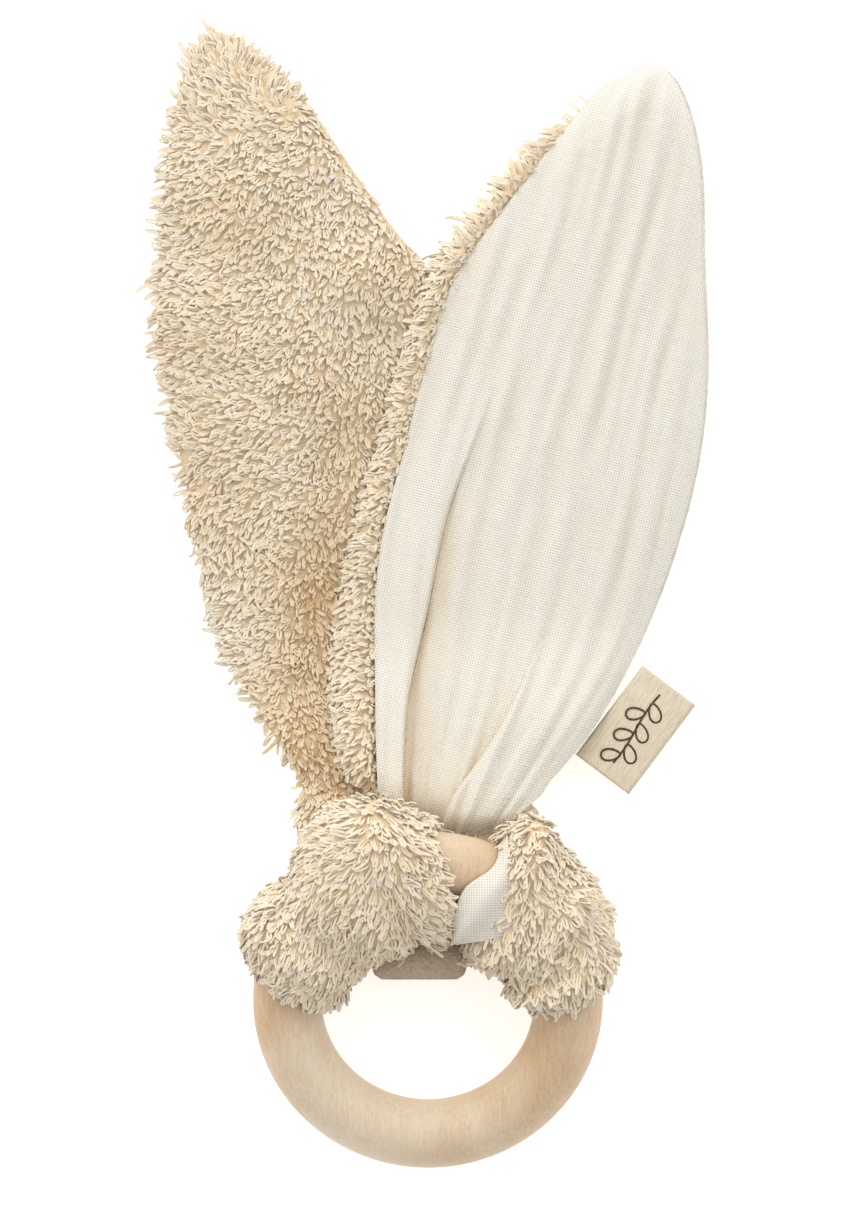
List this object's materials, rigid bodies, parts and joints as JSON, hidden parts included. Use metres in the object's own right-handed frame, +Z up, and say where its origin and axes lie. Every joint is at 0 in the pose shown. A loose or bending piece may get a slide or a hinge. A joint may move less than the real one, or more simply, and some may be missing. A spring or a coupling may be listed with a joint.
{
  "type": "teething ring",
  "caption": "Wooden teething ring with a two-layer rabbit-ear comforter cloth, terry on one face and muslin on the other, tied round it in a knot.",
  "frame": {"origin": "middle of the object's outline, on the surface it lies on", "axes": "+Y along the object from the ring to the ears' ends, +Z up off the surface, +X to the right with the ring nearest"},
  "size_m": [0.1128, 0.2308, 0.0335],
  "materials": {
    "wood": "satin, fine grain",
    "terry": "looped cotton pile",
    "muslin": "crinkled double gauze",
    "seam": "sewn raw edges",
    "tape": "woven cotton tape"
  },
  "bodies": {
    "knot": {"back_bar_terry": "terry", "back_bar_muslin": "muslin", "left_lobe_terry": "terry", "left_lobe_muslin": "muslin", "left_neck_terry": "terry", "left_neck_muslin": "muslin", "right_lobe_terry": "terry", "right_lobe_muslin": "muslin", "right_neck_terry": "terry", "right_neck_muslin": "muslin"},
    "ring": {"wooden_ring": "wood"},
    "label": {"label_tape": "tape"},
    "left_ear": {"left_ear_terry": "terry", "left_ear_muslin": "muslin", "left_ear_seam": "seam"},
    "left_ear_tip": {"left_ear_tip_terry": "terry", "left_ear_tip_muslin": "muslin", "left_ear_tip_seam": "seam"},
    "right_ear": {"right_ear_terry": "terry", "right_ear_muslin": "muslin", "right_ear_seam": "seam"},
    "right_ear_tip": {"right_ear_tip_terry": "terry", "right_ear_tip_muslin": "muslin", "right_ear_tip_seam": "seam"}
  },
  "joints": [
    {"name": "ring_spin", "type": "hinge", "parent": "knot", "child": "ring", "pos_m": [0, -0.08131, 0.01398], "axis": [0, -0.2521, 0.9677], "continuous": true},
    {"name": "left_ear_lift", "type": "hinge", "parent": "knot", "child": "left_ear", "pos_m": [-0.022, -0.037, 0.0108], "axis": [1, 0, 0], "range_deg": [0, 90]},
    {"name": "left_ear_curl", "type": "hinge", "parent": "left_ear", "child": "left_ear_tip", "pos_m": [-0.03, 0.033, 0.006], "axis": [1, 0, 0], "range_deg": [0, 120]},
    {"name": "right_ear_lift", "type": "hinge", "parent": "knot", "child": "right_ear", "pos_m": [0.005, -0.037, 0.0108], "axis": [1, 0, 0], "range_deg": [0, 90]},
    {"name": "right_ear_curl", "type": "hinge", "parent": "right_ear", "child": "right_ear_tip", "pos_m": [0.024, 0.033, 0.006], "axis": [1, 0, 0], "range_deg": [0, 120]},
    {"name": "label_flip", "type": "hinge", "parent": "right_ear", "child": "label", "pos_m": [0.0432, -0.0144, 0.0061], "axis": [-0.6004, -0.7997, 0], "range_deg": [0, 90]}
  ]
}
